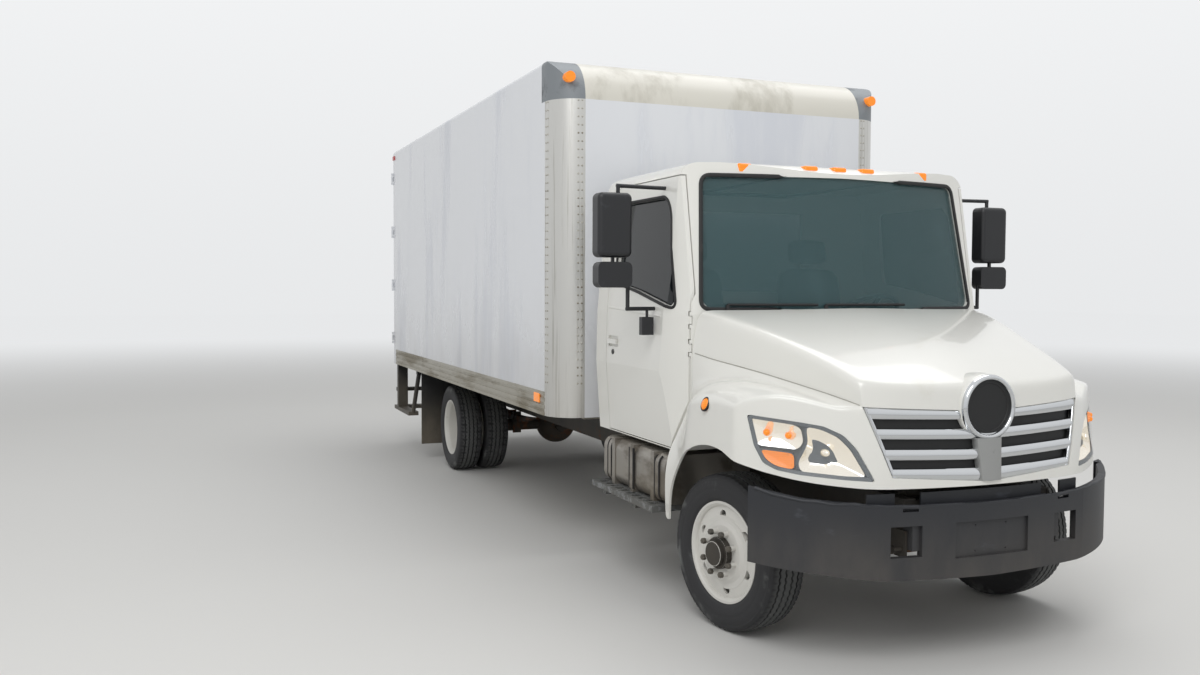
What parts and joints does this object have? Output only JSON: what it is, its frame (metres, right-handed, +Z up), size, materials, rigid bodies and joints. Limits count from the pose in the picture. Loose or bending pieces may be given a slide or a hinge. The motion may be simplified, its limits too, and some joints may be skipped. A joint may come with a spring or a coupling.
{
  "type": "box truck",
  "caption": "Medium-duty box truck with a conventional cab, forward-tilting hood, ladder frame, dual rear wheels and a tall aluminium-railed van body.",
  "frame": {"origin": "centre of the bounding box's bottom face, on the ground the tyres stand on", "axes": "+X towards the truck's left, -Y towards the front bumper, +Z up"},
  "size_m": [2.789, 8.004, 3.2199],
  "materials": {
    "frame_paint": "satin black paint with road grime",
    "axle_paint": "dull black paint, rust bloom",
    "cast_metal": "grey casting",
    "dark_metal": "matte black core",
    "bumper_plastic": "moulded charcoal plastic, scuffed",
    "cab_paint": "warm white gloss paint",
    "tinted_glass": "tinted safety glass",
    "interior_plastic": "grained dark plastic",
    "seat_fabric": "grey woven cloth",
    "black_rubber": "black rubber",
    "amber_lens": "amber lens",
    "red_lens": "red lens",
    "tank_steel": "dull brushed tank skin",
    "black_paint": "black paint",
    "galvanised_steel": "galvanised tread plate",
    "exhaust_steel": "heat-stained steel",
    "rail_aluminium": "extruded aluminium, weathered",
    "body_paint": "cool white panel",
    "polished_aluminium": "rolled bright sheet",
    "cast_cap": "grey casting",
    "radius_paint": "cream panel",
    "chrome_trim": "chrome, peeling in places",
    "clear_lens": "clear lens over bright reflector",
    "black_plastic": "moulded black plastic",
    "tyre_rubber": "worn tyre rubber",
    "rim_paint": "white wheel paint, rust at the lip"
  },
  "bodies": {
    "chassis": {"frame_rails": "frame_paint", "front_axle": "axle_paint", "rear_axle": "axle_paint", "engine_block": "cast_metal", "radiator": "dark_metal", "front_bumper": "bumper_plastic", "cab_shell": "cab_paint", "cab_glass": "tinted_glass", "dashboard": "interior_plastic", "seats": "seat_fabric", "wipers": "black_rubber", "amber_lamps": "amber_lens", "red_lamps": "red_lens", "fuel_tank": "tank_steel", "battery_box": "black_paint", "side_steps": "galvanised_steel", "exhaust": "exhaust_steel", "box_floor": "rail_aluminium", "box_side_walls": "body_paint", "box_front_wall": "body_paint", "corner_posts": "polished_aluminium", "corner_caps": "cast_cap", "front_radius": "radius_paint", "box_roof": "body_paint", "rear_portal": "body_paint", "mud_flaps": "black_rubber", "rear_bumper": "black_paint"},
    "hood": {"hood_shell": "cab_paint", "grille": "chrome_trim", "headlamps": "clear_lens"},
    "left_door_body": {"left_door": "cab_paint", "left_door_glass": "tinted_glass", "left_mirrors": "black_plastic"},
    "right_door_body": {"right_door": "cab_paint", "right_door_glass": "tinted_glass", "right_mirrors": "black_plastic"},
    "left_rear_door_body": {"left_rear_door": "body_paint"},
    "right_rear_door_body": {"right_rear_door": "body_paint"},
    "left_steer": {"left_knuckle": "axle_paint"},
    "right_steer": {"right_knuckle": "axle_paint"},
    "tie_rod_body": {"tie_rod": "axle_paint"},
    "left_front_wheel": {"left_front_tyre": "tyre_rubber", "left_front_rim": "rim_paint"},
    "right_front_wheel": {"right_front_tyre": "tyre_rubber", "right_front_rim": "rim_paint"},
    "left_rear_wheel": {"left_rear_tyres": "tyre_rubber", "left_rear_rims": "rim_paint"},
    "right_rear_wheel": {"right_rear_tyres": "tyre_rubber", "right_rear_rims": "rim_paint"}
  },
  "joints": [
    {"name": "hood_tilt", "type": "hinge", "parent": "chassis", "child": "hood", "pos_m": [0, -3.87, 0.55], "axis": [1, 0, 0], "range_deg": [0, 60]},
    {"name": "left_door_swing", "type": "hinge", "parent": "chassis", "child": "left_door_body", "pos_m": [0.947, -2.729, 1.6], "axis": [0, 0, -1], "range_deg": [0, 70]},
    {"name": "right_door_swing", "type": "hinge", "parent": "chassis", "child": "right_door_body", "pos_m": [-0.947, -2.729, 1.6], "axis": [0, 0, 1], "range_deg": [0, 70]},
    {"name": "left_rear_door_swing", "type": "hinge", "parent": "chassis", "child": "left_rear_door_body", "pos_m": [1.262, 3.915, 2], "axis": [0, 0, -1], "range_deg": [0, 250]},
    {"name": "right_rear_door_swing", "type": "hinge", "parent": "chassis", "child": "right_rear_door_body", "pos_m": [-1.262, 3.915, 2], "axis": [0, 0, 1], "range_deg": [0, 250]},
    {"name": "steer_left", "type": "hinge", "parent": "chassis", "child": "left_steer", "pos_m": [0.77, -3.07, 0.402], "axis": [0, 0, 1], "range_deg": [-44.7, 25.3]},
    {"name": "steer_right", "type": "hinge", "parent": "chassis", "child": "right_steer", "pos_m": [-0.77, -3.07, 0.402], "axis": [0, 0, 1], "range_deg": [-44.7, 25.3]},
    {"name": "tie_rod_pivot", "type": "hinge", "parent": "left_steer", "child": "tie_rod_body", "pos_m": [0.74473, -2.92214, 0.304], "axis": [0, 0, 1], "range_deg": [-25.3, 44.7]},
    {"name": "left_front_spin", "type": "hinge", "parent": "left_steer", "child": "left_front_wheel", "pos_m": [0.77, -3.07, 0.402], "axis": [0.9857, 0.1685, 0], "continuous": true},
    {"name": "right_front_spin", "type": "hinge", "parent": "right_steer", "child": "right_front_wheel", "pos_m": [-0.77, -3.07, 0.402], "axis": [0.9857, 0.1685, 0], "continuous": true},
    {"name": "left_rear_spin", "type": "hinge", "parent": "chassis", "child": "left_rear_wheel", "pos_m": [0.9, 2.101, 0.402], "axis": [1, 0, 0], "continuous": true},
    {"name": "right_rear_spin", "type": "hinge", "parent": "chassis", "child": "right_rear_wheel", "pos_m": [-0.9, 2.101, 0.402], "axis": [1, 0, 0], "continuous": true}
  ],
  "couplings": [
    {"joint": "steer_right", "follows": "steer_left", "ratio": 1},
    {"joint": "tie_rod_pivot", "follows": "steer_left", "ratio": -1}
  ]
}
